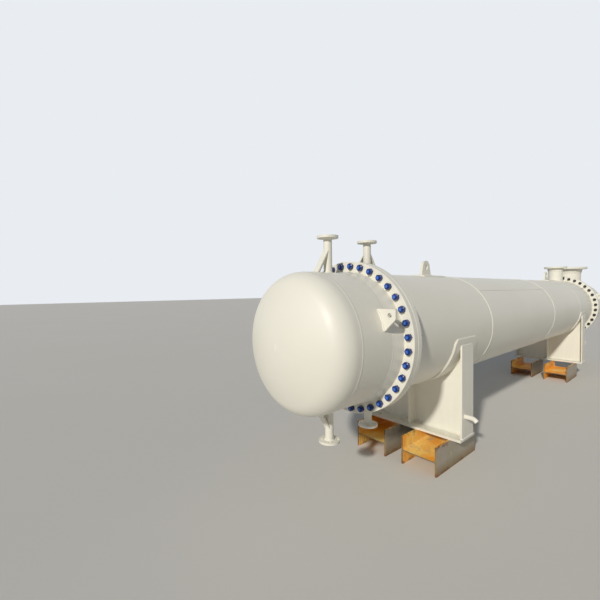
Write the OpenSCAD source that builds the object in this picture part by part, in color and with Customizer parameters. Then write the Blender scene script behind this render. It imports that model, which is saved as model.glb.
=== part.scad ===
/* [Shell] */
// outside diameter of the shell and of both bonnet barrels
shell_od = 950; // [600:1:1600]
// plate thickness of the shell
shell_wall = 10; // [6:0.5:25]
// distance between the outer faces of the two tubesheets
tube_span = 6038; // [3000:1:9000]
// first girth weld, from the near tubesheet face
seam_1_x = 1448; // [500:1:3000]
// second girth weld, from the near tubesheet face
seam_2_x = 3556; // [2000:1:5000]
// third girth weld, in front of the far tubesheet face
seam_3_back = 985; // [300:1:2500]
// width of a weld bead
weld_w = 18; // [6:0.5:30]
// height of a weld bead on the shell above the plate
weld_h = 3.2; // [1:0.1:5]
// height of the dressed weld bead between a head and its barrel
head_weld_h = 1.4; // [0.5:0.1:5]
// width of the flat crown of a weld bead
weld_crown = 6; // [2:0.5:20]
// angle of the lengthwise weld above the horizontal
long_weld_angle = 45; // [10:1:80]

/* [Main joints] */
// reach of the flange and tubesheet rims beyond the outside of the shell
rim_reach = 85; // [60:1:200]
// chamfer on the edges of the rims
rim_chamfer = 2; // [0.5:0.5:6]
// distance of the stud circle outside the shell
stud_reach = 50; // [36:1:160]
// number of studs in each joint
stud_count = 36; // [12:4:60]
// diameter of a stud
stud_d = 25; // [12:1:48]
// clearance of a stud hole over the stud
stud_hole_clear = 3; // [1:0.5:6]
// size of a stud nut across its flats
nut_flats = 41; // [19:0.5:80]
// height of a stud nut
nut_h = 25; // [10:0.5:50]
// depth of the cone turned on the corners of a nut
nut_chamfer = 3; // [0.5:0.5:6]
// chamfer on the ends of a stud
stud_tip = 2; // [0.5:0.5:5]
// length of stud that shows past the nut
stud_proud = 9; // [2:0.5:40]
// thickness of a bonnet flange
flange_t = 43; // [20:0.5:120]
// length of the hub behind the bonnet flange
hub_len = 101; // [30:1:200]
// thickness that the hub gains towards the flange
hub_rise = 12; // [4:0.5:30]
// thickness of a gasket
gasket_t = 3; // [1:0.1:6]
// reach of a gasket beyond the outside of the shell
gasket_reach = 26; // [8:1:60]
// thickness of a tubesheet
tubesheet_t = 44; // [25:0.5:150]

/* [Bonnets] */
// plate thickness of the bonnet barrels and the heads
bonnet_wall = 12; // [6:0.5:30]
// length of the near bonnet barrel, hub to head weld
near_barrel_len = 300; // [100:1:900]
// length of the far bonnet barrel, hub to head weld
far_barrel_len = 713; // [300:1:1500]
// straight length of a head before its curve starts
head_straight = 40; // [20:1:80]
// outside radius of the crown of a head
crown_r = 855; // [500:1:1500]
// outside radius of the knuckle of a head
knuckle_r = 161.5; // [60:0.5:300]
// thickness of the pass plate in the far bonnet
pass_plate_t = 10; // [6:0.5:20]
// thickness of a bonnet side lug
side_lug_t = 20; // [10:0.5:40]
// reach of a side lug beyond the outside of the barrel
side_lug_reach = 73; // [40:1:200]
// depth that a side lug is drawn inside the barrel before it is cut
side_lug_sink = 95; // [60:1:200]
// height of the top edge of a side lug over the axis
side_lug_top = 232; // [100:1:350]
// height of the lower outer corner of a side lug over the axis
side_lug_low = 172; // [60:1:300]
// height at which the slanted edge meets the barrel
side_lug_foot = 90; // [20:1:200]
// diameter of the eye in a side lug
side_lug_eye = 30; // [15:0.5:50]
// distance of the eye outside the barrel
side_lug_eye_out = 31; // [20:1:150]
// height of the eye over the axis
side_lug_eye_z = 194; // [100:1:300]
// near side lugs, distance in front of the near tubesheet face
near_side_lug_x = 226; // [60:1:400]
// far side lugs, distance behind the far tubesheet face
far_side_lug_x = 375; // [60:1:700]

/* [Vents and drains] */
// outside diameter of a vent or drain neck
vent_neck_od = 60.3; // [20:0.1:120]
// wall of a vent or drain neck
vent_neck_wall = 5.5; // [2:0.1:12]
// outside diameter of a vent or drain flange
vent_flange_od = 152; // [80:1:250]
// thickness of a vent or drain flange
vent_flange_t = 17; // [8:0.5:24]
// diameter of the hub where it meets the flange
vent_hub_od = 78; // [50:1:120]
// height of the hub and flange together
vent_hub_h = 26; // [25:1:120]
// bolt circle of a vent or drain flange
vent_bolt_circle = 120.7; // [60:0.1:200]
// bolt holes in a vent or drain flange
vent_bolt_count = 4; // [4:4:8]
// diameter of a vent or drain bolt hole
vent_bolt_hole = 19; // [10:0.5:30]
// diameter of the raised face of a vent or drain flange
vent_face_od = 92; // [50:1:100]
// height of the raised face of every nozzle flange
face_rise = 2; // [1:0.1:6]
// depth that a neck stands inside the shell plate
neck_sink = 10; // [2:1:60]
// height of a vent or drain flange over the outside of the shell
vent_rise = 258; // [100:1:500]
// bonnet vent and drain, distance in front of the near tubesheet face
bonnet_vent_x = 244; // [80:1:400]
// shell vent and drain, distance behind the near tubesheet face
shell_vent_x = 198; // [100:1:600]
// width of a brace bar
brace_w = 50; // [15:1:80]
// thickness of a brace bar
brace_t = 9; // [4:0.5:20]
// distance of a brace foot from the neck centre
brace_foot = 122; // [80:1:300]
// height over the shell at which a brace would reach the neck centre
brace_rise = 187; // [60:1:240]
// depth that a brace is drawn inside the barrel before it is cut
brace_sink = 40; // [20:1:80]

/* [Large nozzles] */
// outside diameter of the shell nozzle neck
shell_noz_od = 219.1; // [100:0.1:400]
// wall of the shell nozzle neck
shell_noz_wall = 8.2; // [4:0.1:20]
// outside diameter of the shell nozzle flange
shell_noz_flange_od = 343; // [150:1:600]
// thickness of the shell nozzle flange
shell_noz_flange_t = 28.5; // [12:0.5:60]
// diameter of the shell nozzle hub where it meets the flange
shell_noz_hub_od = 246; // [120:1:450]
// height of the shell nozzle hub and flange together
shell_noz_hub_h = 101; // [40:1:200]
// bolt circle of the shell nozzle flange
shell_noz_circle = 298.5; // [130:0.1:550]
// bolt holes in the shell nozzle flange
shell_noz_bolts = 8; // [4:4:16]
// diameter of a shell nozzle bolt hole
shell_noz_hole = 22; // [12:0.5:40]
// diameter of the raised face of a shell nozzle flange
shell_noz_face_od = 270; // [120:1:500]
// shell nozzles, distance in front of the far tubesheet face
shell_noz_back = 370; // [200:1:1500]
// outside diameter of the bonnet nozzle neck
bonnet_noz_od = 406.4; // [150:0.1:500]
// wall of the bonnet nozzle neck
bonnet_noz_wall = 9.5; // [4:0.1:20]
// outside diameter of the bonnet nozzle flange
bonnet_noz_flange_od = 597; // [250:1:800]
// thickness of the bonnet nozzle flange
bonnet_noz_flange_t = 36.5; // [15:0.5:80]
// diameter of the bonnet nozzle hub where it meets the flange
bonnet_noz_hub_od = 457; // [200:1:560]
// height of the bonnet nozzle hub and flange together
bonnet_noz_hub_h = 127; // [60:1:200]
// bolt circle of the bonnet nozzle flange
bonnet_noz_circle = 539.8; // [200:0.1:750]
// bolt holes in the bonnet nozzle flange
bonnet_noz_bolts = 16; // [4:4:24]
// diameter of a bonnet nozzle bolt hole
bonnet_noz_hole = 28.5; // [12:0.5:45]
// bonnet nozzles, distance behind the far tubesheet face
bonnet_noz_x = 560; // [300:1:1200]
// diameter of the raised face of a bonnet nozzle flange
bonnet_noz_face_od = 470; // [200:1:700]
// height of a bonnet nozzle flange over the outside of the barrel
bonnet_noz_rise = 276; // [140:1:500]
// height of a shell nozzle flange over the outside of the shell
shell_noz_rise = 256; // [140:1:500]

/* [Lifting lugs] */
// thickness of a lifting lug
lug_t = 25; // [10:0.5:50]
// width of a lifting lug at its foot
lug_foot_w = 174; // [80:1:300]
// radius of the round top of a lifting lug
lug_top_r = 62; // [30:1:120]
// diameter of the eye of a lifting lug
lug_eye = 52; // [20:1:100]
// height of the eye over the outside of the shell
lug_eye_rise = 86; // [50:1:200]
// length of the pad under a lifting lug
lug_pad_len = 385; // [200:1:800]
// width of the pad under a lifting lug
lug_pad_w = 200; // [100:1:400]
// thickness of the pad under a lifting lug
lug_pad_t = 10; // [5:0.5:25]
// near lifting lug, distance behind the near tubesheet face
near_lug_x = 1086; // [400:1:3000]
// far lifting lug, distance in front of the far tubesheet face
far_lug_back = 995; // [300:1:3000]

/* [Saddles] */
// front saddle, distance behind the near tubesheet face
front_saddle_x = 898; // [400:1:2500]
// rear saddle, distance in front of the far tubesheet face
rear_saddle_back = 765; // [400:1:2500]
// height of the vessel axis over the underside of the base plate
saddle_h = 895; // [500:1:1500]
// length of the base plate across the vessel
base_len = 966; // [500:1:1500]
// width of the base plate along the vessel
base_w = 260; // [100:1:500]
// thickness of the base plate
base_t = 20; // [8:0.5:50]
// width of the ribs along the vessel
rib_w = 210; // [80:1:400]
// thickness of the ribs and the web
rib_t = 14; // [6:0.5:40]
// height of the top edge of an end rib under the axis
rib_top_drop = 113; // [40:1:300]
// length of the wear plate along the vessel
wear_len = 400; // [200:1:800]
// thickness of the wear plate
wear_t = 12; // [5:0.5:30]
// height of the top edge of the wear plate under the axis
wear_top_drop = 55; // [0:1:250]
// corner radius of the wear plate
wear_corner = 50; // [10:1:120]
// diameter of an anchor hole
anchor_hole = 30; // [14:0.5:60]
// length of an anchor slot in the rear saddle
anchor_slot = 60; // [32:1:120]
// distance between anchor holes across the vessel
anchor_across = 660; // [300:1:900]
// distance between anchor holes along the vessel
anchor_along = 160; // [60:1:300]
// diameter of the earthing boss
boss_d = 38; // [15:0.5:60]
// length of the straight part of the earthing boss
boss_straight = 50; // [20:1:200]
// radius of the bend in the earthing boss, to the middle of the bar
boss_bend_r = 50; // [35:1:100]
// angle that the earthing boss bends down
boss_bend = 40; // [5:1:90]
// length of the end of the earthing boss past the bend
boss_tip = 15; // [5:1:60]
// height of the earthing boss over the base plate underside
boss_z = 199; // [60:1:500]
// distance of the earthing boss from the web plane
boss_shift = 50; // [0:1:90]

/* [Beams] */
// depth of a beam, across the vessel as it lies
beam_depth = 315; // [150:1:600]
// width of the beam flanges, which stand upright
beam_w = 235; // [100:1:400]
// thickness of the beam flanges
beam_flange_t = 15; // [6:0.5:40]
// thickness of the beam web
beam_web_t = 10; // [4:0.5:30]
// radius of the roots between web and flanges
beam_root = 18; // [5:0.5:40]
// length of a front beam
front_beam_len = 704; // [300:1:2000]
// length of a rear beam
rear_beam_len = 620; // [300:1:2000]
// gap between the two beams of a pair
beam_gap = 160; // [20:1:500]
// rear beams, distance of their middle in front of the rear saddle
rear_beam_shift = 315; // [0:1:340]

/* [Tube bundle] */
// outside diameter of a tube
tube_od = 38; // [12:0.5:60]
// wall of a tube
tube_wall = 2.6; // [1:0.1:6]
// distance between neighbouring tubes
tube_pitch = 48; // [16:0.5:80]
// distance of the outermost tube centres from the inner face of the shell
tube_edge = 40; // [24:1:120]
// half the height of the lane kept free in the middle
lane_half = 12; // [6:0.5:40]
// length of tube that stands past a tubesheet
tube_proud = 3; // [1:0.5:10]
// number of cross baffles
baffle_count = 7; // [2:1:20]
// thickness of a cross baffle
baffle_t = 8; // [4:0.5:20]
// clearance between a cross baffle and the shell
baffle_clear = 3; // [1:0.5:8]
// height over the axis at which every second baffle is cut
baffle_cut = 260; // [100:1:400]
// thickness of the lengthwise baffle
long_baffle_t = 8; // [4:0.5:20]

/* [Hidden] */
cream = [0.91, 0.88, 0.78];
blue = [0.08, 0.22, 0.68];
dark = [0.12, 0.12, 0.13];
ochre = [0.80, 0.58, 0.20];
steel = [0.55, 0.56, 0.57];
shell_r = shell_od / 2;
flange_r = shell_r + rim_reach;
stud_circle = shell_od + 2 * stud_reach;
gasket_od = shell_od + 2 * gasket_reach;
shell_in = shell_r - shell_wall;
bonnet_in = shell_r - bonnet_wall;
wear_r = shell_r + wear_t;
vent_reach = shell_r + vent_rise;
shell_noz_reach = shell_r + shell_noz_rise;
bonnet_noz_reach = shell_r + bonnet_noz_rise;
lug_eye_z = shell_r + lug_eye_rise;
seam_3_x = tube_span - seam_3_back;
shell_noz_x = tube_span - shell_noz_back;
far_lug_x = tube_span - far_lug_back;
rear_saddle_x = tube_span - rear_saddle_back;
tube_field_r = shell_in - tube_edge;
axis_h = saddle_h + beam_w;
joint_t = gasket_t + flange_t + hub_len;
near_seam = -joint_t - near_barrel_len;
far_seam = tube_span + joint_t + far_barrel_len;
knuckle_c = shell_r - knuckle_r;
crown_drop = sqrt(pow(crown_r - knuckle_r, 2) - pow(knuckle_c, 2));
head_h = crown_r - crown_drop;
near_end = near_seam - head_straight - head_h;
far_end = far_seam + head_straight + head_h;
mid_x = (near_end + far_end) / 2;
stud_hole = stud_d + stud_hole_clear;
joint_grip = flange_t + gasket_t + tubesheet_t;
nut_end = nut_h + stud_proud;
stud_len = joint_grip + 2 * nut_end;
nut_corner = nut_flats / cos(30) / 2;
row_step = tube_pitch * sqrt(3) / 2;
row_max = floor((tube_field_r - lane_half) / row_step);
col_max = ceil(tube_field_r / tube_pitch);
over = 1000;
eps = 1;

// moves a piece drawn up the Z axis onto the vessel axis, X along the vessel
module on_axis(x) {
  translate([x - mid_x, 0, axis_h])
    rotate([0, 90, 0])
      children();
}

// the same, facing the near end
module on_axis_back(x) {
  translate([x - mid_x, 0, axis_h])
    rotate([0, -90, 0])
      children();
}

// moves a piece drawn about the origin to a station on the vessel axis, not turned
module at_station(x) {
  translate([x - mid_x, 0, axis_h])
    children();
}

// section of the dished head: straight part, knuckle arc, crown arc
module head_section() {
  translate([bonnet_in, -head_straight])
    square([bonnet_wall, head_straight]);
  intersection() {
    translate([knuckle_c, 0])
      difference() {
        circle(r = knuckle_r, $fn = 144);
        circle(r = knuckle_r - bonnet_wall, $fn = 144);
      }
    polygon([[knuckle_c, 0], [knuckle_c * 2, crown_drop], [over, crown_drop], [over, 0]]);
  }
  intersection() {
    translate([0, -crown_drop])
      difference() {
        circle(r = crown_r, $fn = 256);
        circle(r = crown_r - bonnet_wall, $fn = 256);
      }
    polygon([[0, -crown_drop], [knuckle_c * 2, crown_drop], [0, over]]);
  }
}

module dished_head() {
  translate([0, 0, head_straight])
    rotate_extrude($fn = 144)
      head_section();
}

module near_head() {
  color(cream)
    on_axis_back(near_seam)
      dished_head();
}

module far_head() {
  color(cream)
    on_axis(far_seam)
      dished_head();
}

// flange with its tapered hub, drawn from the gasket face outwards
module bonnet_flange() {
  difference() {
    rotate_extrude($fn = 144)
      polygon([[bonnet_in, 0], [flange_r - rim_chamfer, 0], [flange_r, rim_chamfer],
        [flange_r, flange_t - rim_chamfer], [flange_r - rim_chamfer, flange_t],
        [shell_r + hub_rise, flange_t], [shell_r, flange_t + hub_len],
        [bonnet_in, flange_t + hub_len]]);
    stud_holes(flange_t);
  }
}

module stud_holes(t) {
  for (i = [0 : stud_count - 1])
    rotate([0, 0, (i + 0.5) * 360 / stud_count])
      translate([stud_circle / 2, 0, -eps])
        cylinder(d = stud_hole, h = t + 2 * eps, $fn = 24);
}

module near_bonnet_flange() {
  color(cream)
    on_axis_back(-gasket_t)
      bonnet_flange();
}

module far_bonnet_flange() {
  color(cream)
    on_axis(tube_span + gasket_t)
      bonnet_flange();
}

module gasket() {
  linear_extrude(height = gasket_t)
    difference() {
      circle(d = gasket_od, $fn = 144);
      circle(r = bonnet_in, $fn = 144);
    }
}

module near_gasket() {
  color(dark)
    on_axis(-gasket_t)
      gasket();
}

module far_gasket() {
  color(dark)
    on_axis(tube_span)
      gasket();
}

// centres of all tubes, upper half and its mirror image below the lane
module tube_field() {
  for (side = [-1, 1])
    for (j = [0 : row_max])
      for (i = [-col_max : col_max])
        place_tube(side * (lane_half + tube_od / 2 + j * row_step),
          (i + (j % 2) / 2) * tube_pitch)
          children();
}

module place_tube(up, across) {
  if (sqrt(up * up + across * across) <= tube_field_r)
    translate([-up, across])
      children();
}

// ring that takes the sharp edge off a rim whose face stands at height 0
module rim_edge_cut() {
  rotate_extrude($fn = 144)
    polygon([[flange_r - rim_chamfer - 1, -1], [flange_r + 1, -1],
      [flange_r + 1, rim_chamfer + 1]]);
}

module tubesheet() {
  difference() {
    linear_extrude(height = tubesheet_t)
      difference() {
        circle(r = flange_r, $fn = 144);
        tube_field()
          circle(d = tube_od, $fn = 24);
        for (i = [0 : stud_count - 1])
          rotate((i + 0.5) * 360 / stud_count)
            translate([stud_circle / 2, 0])
              circle(d = stud_hole, $fn = 24);
      }
    rim_edge_cut();
    translate([0, 0, tubesheet_t])
      mirror([0, 0, 1])
        rim_edge_cut();
  }
}

module near_tubesheet() {
  color(cream)
    on_axis(0)
      tubesheet();
}

module far_tubesheet() {
  color(cream)
    on_axis(tube_span - tubesheet_t)
      tubesheet();
}

module tube_bundle() {
  color(steel)
    on_axis(-tube_proud)
      linear_extrude(height = tube_span + 2 * tube_proud)
        tube_field()
          difference() {
            circle(d = tube_od, $fn = 24);
            circle(d = tube_od - 2 * tube_wall, $fn = 24);
          }
}

// plate cut away above or below, alternately, with a hole for every tube
module cross_baffle(cut_sign) {
  linear_extrude(height = baffle_t)
    difference() {
      circle(r = shell_in - baffle_clear, $fn = 144);
      translate([cut_sign > 0 ? -over : baffle_cut, -over / 2])
        square([over - baffle_cut * (cut_sign > 0 ? 1 : 0), over]);
      translate([-long_baffle_t / 2, -over / 2])
        square([long_baffle_t, over]);
      tube_field()
        circle(d = tube_od, $fn = 24);
    }
}

module cross_baffles() {
  color(steel)
    for (k = [1 : baffle_count])
      on_axis(tubesheet_t + k * (tube_span - 2 * tubesheet_t) / (baffle_count + 1))
        cross_baffle(k % 2 == 0 ? 1 : -1);
}

module lengthwise_baffle() {
  color(steel)
    at_station(tubesheet_t)
      translate([0, -shell_in, -long_baffle_t / 2])
        cube([tube_span - 2 * tubesheet_t, 2 * shell_in, long_baffle_t]);
}

// nut standing on a face, its outer corners turned to a cone
module hex_nut() {
  intersection() {
    cylinder(r = nut_corner, h = nut_h, $fn = 6);
    rotate_extrude($fn = 48)
      polygon([[0, 0], [nut_corner + eps, 0], [nut_corner + eps, nut_h - nut_chamfer],
        [nut_flats / 2, nut_h], [0, nut_h]]);
  }
}

// plain rod with chamfered ends
module stud_rod() {
  rotate_extrude($fn = 24)
    polygon([[0, 0], [stud_d / 2 - stud_tip, 0], [stud_d / 2, stud_tip],
      [stud_d / 2, stud_len - stud_tip], [stud_d / 2 - stud_tip, stud_len], [0, stud_len]]);
}

// a stud with a nut at each end, drawn from the outer face of the bonnet flange
module stud_set() {
  for (i = [0 : stud_count - 1])
    rotate([0, 0, (i + 0.5) * 360 / stud_count])
      translate([stud_circle / 2, 0, 0])
        union() {
          translate([0, 0, -nut_end])
            stud_rod();
          rotate([180, 0, 0])
            hex_nut();
          translate([0, 0, joint_grip])
            hex_nut();
        }
}

module near_studs() {
  color(blue)
    on_axis(-gasket_t - flange_t)
      stud_set();
}

module far_studs() {
  color(dark)
    on_axis(tube_span - tubesheet_t)
      stud_set();
}

module pipe(r_out, r_in, len) {
  linear_extrude(height = len)
    difference() {
      circle(r = r_out, $fn = 144);
      circle(r = r_in, $fn = 144);
    }
}

module near_bonnet_barrel() {
  color(cream)
    difference() {
      on_axis(near_seam)
        pipe(shell_r, bonnet_in, near_barrel_len);
      at_station(-bonnet_vent_x)
        cylinder(d = vent_neck_od, h = 2 * over, center = true, $fn = 48);
    }
}

module far_bonnet_barrel() {
  color(cream)
    difference() {
      on_axis(tube_span + joint_t)
        pipe(shell_r, bonnet_in, far_barrel_len);
      at_station(tube_span + bonnet_noz_x)
        cylinder(d = bonnet_noz_od, h = 2 * over, center = true, $fn = 96);
    }
}

module shell_barrel() {
  color(cream)
    difference() {
      on_axis(tubesheet_t)
        pipe(shell_r, shell_in, tube_span - 2 * tubesheet_t);
      at_station(shell_vent_x)
        cylinder(d = vent_neck_od, h = 2 * over, center = true, $fn = 48);
      at_station(shell_noz_x)
        cylinder(d = shell_noz_od, h = 2 * over, center = true, $fn = 96);
    }
}

module weld_ring(bead_h) {
  rotate_extrude($fn = 144)
    polygon([[shell_r, -weld_w / 2], [shell_r + bead_h, -weld_crown / 2],
      [shell_r + bead_h, weld_crown / 2], [shell_r, weld_w / 2]]);
}

// third seam, ground away where the pad of the far lifting lug lies over it
module seam_under_pad() {
  difference() {
    on_axis(seam_3_x)
      weld_ring(weld_h);
    at_station(far_lug_x)
      translate([-lug_pad_len / 2, -lug_pad_w / 2, 0])
        cube([lug_pad_len, lug_pad_w, over]);
  }
}

module girth_welds() {
  color(cream) {
    on_axis(near_seam)
      weld_ring(head_weld_h);
    on_axis(seam_1_x)
      weld_ring(weld_h);
    on_axis(seam_2_x)
      weld_ring(weld_h);
    seam_under_pad();
    on_axis(far_seam)
      weld_ring(head_weld_h);
  }
}

// straight bead along the shell, at an angle over the horizontal, on side -1 or 1
module long_bead(from, to, side) {
  on_axis(from)
    rotate([0, 0, side * (90 + long_weld_angle)])
      linear_extrude(height = to - from)
        intersection() {
          difference() {
            circle(r = shell_r + weld_h, $fn = 144);
            circle(r = shell_r, $fn = 144);
          }
          translate([0, -weld_w / 2])
            square([over, weld_w]);
        }
}

module lengthwise_welds() {
  color(cream) {
    long_bead(tubesheet_t, seam_1_x - weld_w / 2, 1);
    long_bead(seam_1_x + weld_w / 2, seam_2_x - weld_w / 2, -1);
    long_bead(seam_2_x + weld_w / 2, seam_3_x - weld_w / 2, 1);
    long_bead(seam_3_x + weld_w / 2, tube_span - tubesheet_t, -1);
  }
}

// neck, tapered hub and flange of a nozzle, its bolted face at height reach
module nozzle(neck, wall, hub, hub_h, flange, flange_h, face, circle_d, count, hole, reach) {
  difference() {
    rotate_extrude($fn = 96)
      polygon([[neck / 2 - wall, shell_in - neck_sink], [neck / 2, shell_in - neck_sink],
        [neck / 2, reach - hub_h], [hub / 2, reach - flange_h],
        [flange / 2, reach - flange_h], [flange / 2, reach], [face / 2, reach],
        [face / 2, reach + face_rise], [neck / 2 - wall, reach + face_rise]]);
    for (i = [0 : count - 1])
      rotate([0, 0, (i + 0.5) * 360 / count])
        translate([circle_d / 2, 0, reach - flange_h - eps])
          cylinder(d = hole, h = flange_h + 2 * eps, $fn = 24);
  }
}

module small_nozzle() {
  nozzle(vent_neck_od, vent_neck_wall, vent_hub_od, vent_hub_h, vent_flange_od,
    vent_flange_t, vent_face_od, vent_bolt_circle, vent_bolt_count, vent_bolt_hole,
    vent_reach);
}

module shell_nozzle() {
  nozzle(shell_noz_od, shell_noz_wall, shell_noz_hub_od, shell_noz_hub_h,
    shell_noz_flange_od, shell_noz_flange_t, shell_noz_face_od, shell_noz_circle,
    shell_noz_bolts, shell_noz_hole, shell_noz_reach);
}

module bonnet_nozzle() {
  nozzle(bonnet_noz_od, bonnet_noz_wall, bonnet_noz_hub_od, bonnet_noz_hub_h,
    bonnet_noz_flange_od, bonnet_noz_flange_t, bonnet_noz_face_od, bonnet_noz_circle,
    bonnet_noz_bolts, bonnet_noz_hole, bonnet_noz_reach);
}

module bonnet_vent() {
  color(cream)
    at_station(-bonnet_vent_x)
      small_nozzle();
}

module bonnet_drain() {
  color(cream)
    at_station(-bonnet_vent_x)
      rotate([180, 0, 0])
        small_nozzle();
}

module shell_vent() {
  color(cream)
    at_station(shell_vent_x)
      small_nozzle();
}

module shell_drain() {
  color(cream)
    at_station(shell_vent_x)
      rotate([180, 0, 0])
        small_nozzle();
}

module shell_top_nozzle() {
  color(cream)
    at_station(shell_noz_x)
      shell_nozzle();
}

module shell_bottom_nozzle() {
  color(cream)
    at_station(shell_noz_x)
      rotate([180, 0, 0])
        shell_nozzle();
}

module bonnet_top_nozzle() {
  color(cream)
    at_station(tube_span + bonnet_noz_x)
      bonnet_nozzle();
}

module bonnet_bottom_nozzle() {
  color(cream)
    at_station(tube_span + bonnet_noz_x)
      rotate([180, 0, 0])
        bonnet_nozzle();
}

// slanted flat bar in the XZ plane from the barrel to the neck, on the -X side
module brace_bar() {
  foot_x = -brace_foot * (1 + brace_sink / brace_rise);
  bar_drop = brace_t / cos(atan(brace_rise / brace_foot));
  rotate([90, 0, 0])
    linear_extrude(height = brace_w, center = true)
      polygon([[foot_x, shell_r - brace_sink], [0, shell_r + brace_rise],
        [0, shell_r + brace_rise - bar_drop], [foot_x, shell_r - brace_sink - bar_drop]]);
}

// the two bars of one small nozzle, each turned to its own side, cut to the neck and the barrel
module brace_pair(turns) {
  difference() {
    for (turn = turns)
      rotate([0, 0, turn])
        brace_bar();
    cylinder(d = vent_neck_od, h = over, $fn = 48);
    rotate([0, 90, 0])
      cylinder(r = shell_r, h = over, center = true, $fn = 144);
  }
}

module nozzle_braces() {
  color(cream) {
    at_station(-bonnet_vent_x)
      brace_pair([0, -90]);
    at_station(shell_vent_x)
      brace_pair([-90, 180]);
    at_station(-bonnet_vent_x)
      mirror([0, 0, 1])
        brace_pair([0, -90]);
    at_station(shell_vent_x)
      mirror([0, 0, 1])
        brace_pair([-90, 180]);
  }
}

// plate across the vessel with an eye, cut to the curve of the barrel
module side_lug_pair() {
  foot_y = sqrt(shell_r * shell_r - side_lug_foot * side_lug_foot);
  core_y = shell_r - side_lug_sink;
  outer_y = shell_r + side_lug_reach;
  for (side = [-1, 1])
    difference() {
      rotate([90, 0, 90])
        linear_extrude(height = side_lug_t, center = true)
          difference() {
            polygon([[side * core_y, side_lug_top], [side * outer_y, side_lug_top],
              [side * outer_y, side_lug_low], [side * foot_y, side_lug_foot],
              [side * core_y, side_lug_foot]]);
            translate([side * (shell_r + side_lug_eye_out), side_lug_eye_z])
              circle(d = side_lug_eye, $fn = 36);
          }
      rotate([0, 90, 0])
        cylinder(r = shell_r, h = over, center = true, $fn = 144);
    }
}

module near_side_lugs() {
  color(cream)
    at_station(-near_side_lug_x)
      side_lug_pair();
}

module far_side_lugs() {
  color(cream)
    at_station(tube_span + far_side_lug_x)
      side_lug_pair();
}

module far_pass_plate() {
  color(steel)
    at_station(tube_span)
      translate([0, -bonnet_in, -pass_plate_t / 2])
        cube([joint_t + far_barrel_len, 2 * bonnet_in, pass_plate_t]);
}

// lug plate in the plane of the vessel axis, round at the top, with its eye
module lifting_lug() {
  difference() {
    rotate([90, 0, 0])
      linear_extrude(height = lug_t, center = true)
        difference() {
          union() {
            polygon([[-lug_foot_w / 2, shell_r], [lug_foot_w / 2, shell_r],
              [lug_top_r, lug_eye_z], [-lug_top_r, lug_eye_z]]);
            translate([0, lug_eye_z])
              circle(r = lug_top_r, $fn = 96);
          }
          translate([0, lug_eye_z])
            circle(d = lug_eye, $fn = 48);
        }
    rotate([0, 90, 0])
      cylinder(r = shell_r + lug_pad_t, h = over, center = true, $fn = 144);
  }
}

module lifting_lugs() {
  color(cream) {
    at_station(near_lug_x)
      lifting_lug();
    at_station(far_lug_x)
      lifting_lug();
  }
}

module lug_pad() {
  intersection() {
    translate([-lug_pad_len / 2, 0, 0])
      rotate([0, 90, 0])
        pipe(shell_r + lug_pad_t, shell_r, lug_pad_len);
    translate([-lug_pad_len / 2 - eps, -lug_pad_w / 2, 0])
      cube([lug_pad_len + 2 * eps, lug_pad_w, over]);
  }
}

module lifting_lug_pads() {
  color(cream) {
    at_station(near_lug_x)
      lug_pad();
    at_station(far_lug_x)
      lug_pad();
  }
}

// outline of the wear plate seen from the side, its upper corners rounded
module wear_outline() {
  translate([-wear_len / 2, -over])
    square([wear_len, over - wear_top_drop - wear_corner]);
  translate([-wear_len / 2 + wear_corner, -over])
    square([wear_len - 2 * wear_corner, over - wear_top_drop]);
  for (side = [-1, 1])
    translate([side * (wear_len / 2 - wear_corner), -wear_top_drop - wear_corner])
      circle(r = wear_corner, $fn = 72);
}

module wear_plate() {
  intersection() {
    translate([-wear_len / 2 - eps, 0, 0])
      rotate([0, 90, 0])
        pipe(wear_r, shell_r, wear_len + 2 * eps);
    rotate([90, 0, 0])
      linear_extrude(height = 2 * over, center = true)
        wear_outline();
  }
}

module saddle_web() {
  rib_floor = -saddle_h + base_t;
  difference() {
    translate([-rib_t / 2, -base_len / 2 + rib_t, rib_floor])
      cube([rib_t, base_len - 2 * rib_t, saddle_h - base_t - rib_top_drop]);
    rotate([0, 90, 0])
      cylinder(r = wear_r, h = over, center = true, $fn = 144);
  }
}

module saddle_ribs() {
  rib_floor = -saddle_h + base_t;
  difference() {
    union() {
      for (side = [-1, 1])
        translate([-rib_w / 2, side * (base_len - rib_t) / 2 - rib_t / 2, rib_floor])
          cube([rib_w, rib_t, saddle_h - base_t - rib_top_drop]);
      for (side = [-1, 1])
        translate([side * (rib_w + rib_t) / 4 - (rib_w - rib_t) / 4, -rib_t / 2, rib_floor])
          cube([(rib_w - rib_t) / 2, rib_t, saddle_h - base_t - rib_top_drop]);
    }
    rotate([0, 90, 0])
      cylinder(r = wear_r, h = over, center = true, $fn = 144);
  }
}

// base plate with four anchor holes, drawn out to slots when slot is over the hole size
module base_plate(slot) {
  translate([0, 0, -saddle_h])
    linear_extrude(height = base_t)
      difference() {
        square([base_w, base_len], center = true);
        for (sx = [-1, 1])
          for (sy = [-1, 1])
            translate([sx * anchor_along / 2, sy * anchor_across / 2])
              anchor_opening(slot);
      }
}

module anchor_opening(slot) {
  translate([-(slot - anchor_hole) / 2, 0])
    circle(d = anchor_hole, $fn = 36);
  translate([(slot - anchor_hole) / 2, 0])
    circle(d = anchor_hole, $fn = 36);
  if (slot > anchor_hole)
    square([slot - anchor_hole, anchor_hole], center = true);
}

module front_wear_plate() {
  color(cream)
    at_station(front_saddle_x)
      wear_plate();
}

module front_saddle_web() {
  color(cream)
    at_station(front_saddle_x)
      saddle_web();
}

module front_saddle_ribs() {
  color(cream)
    at_station(front_saddle_x)
      saddle_ribs();
}

module front_base_plate() {
  color(cream)
    at_station(front_saddle_x)
      base_plate(anchor_hole);
}

module rear_wear_plate() {
  color(cream)
    at_station(rear_saddle_x)
      wear_plate();
}

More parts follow.
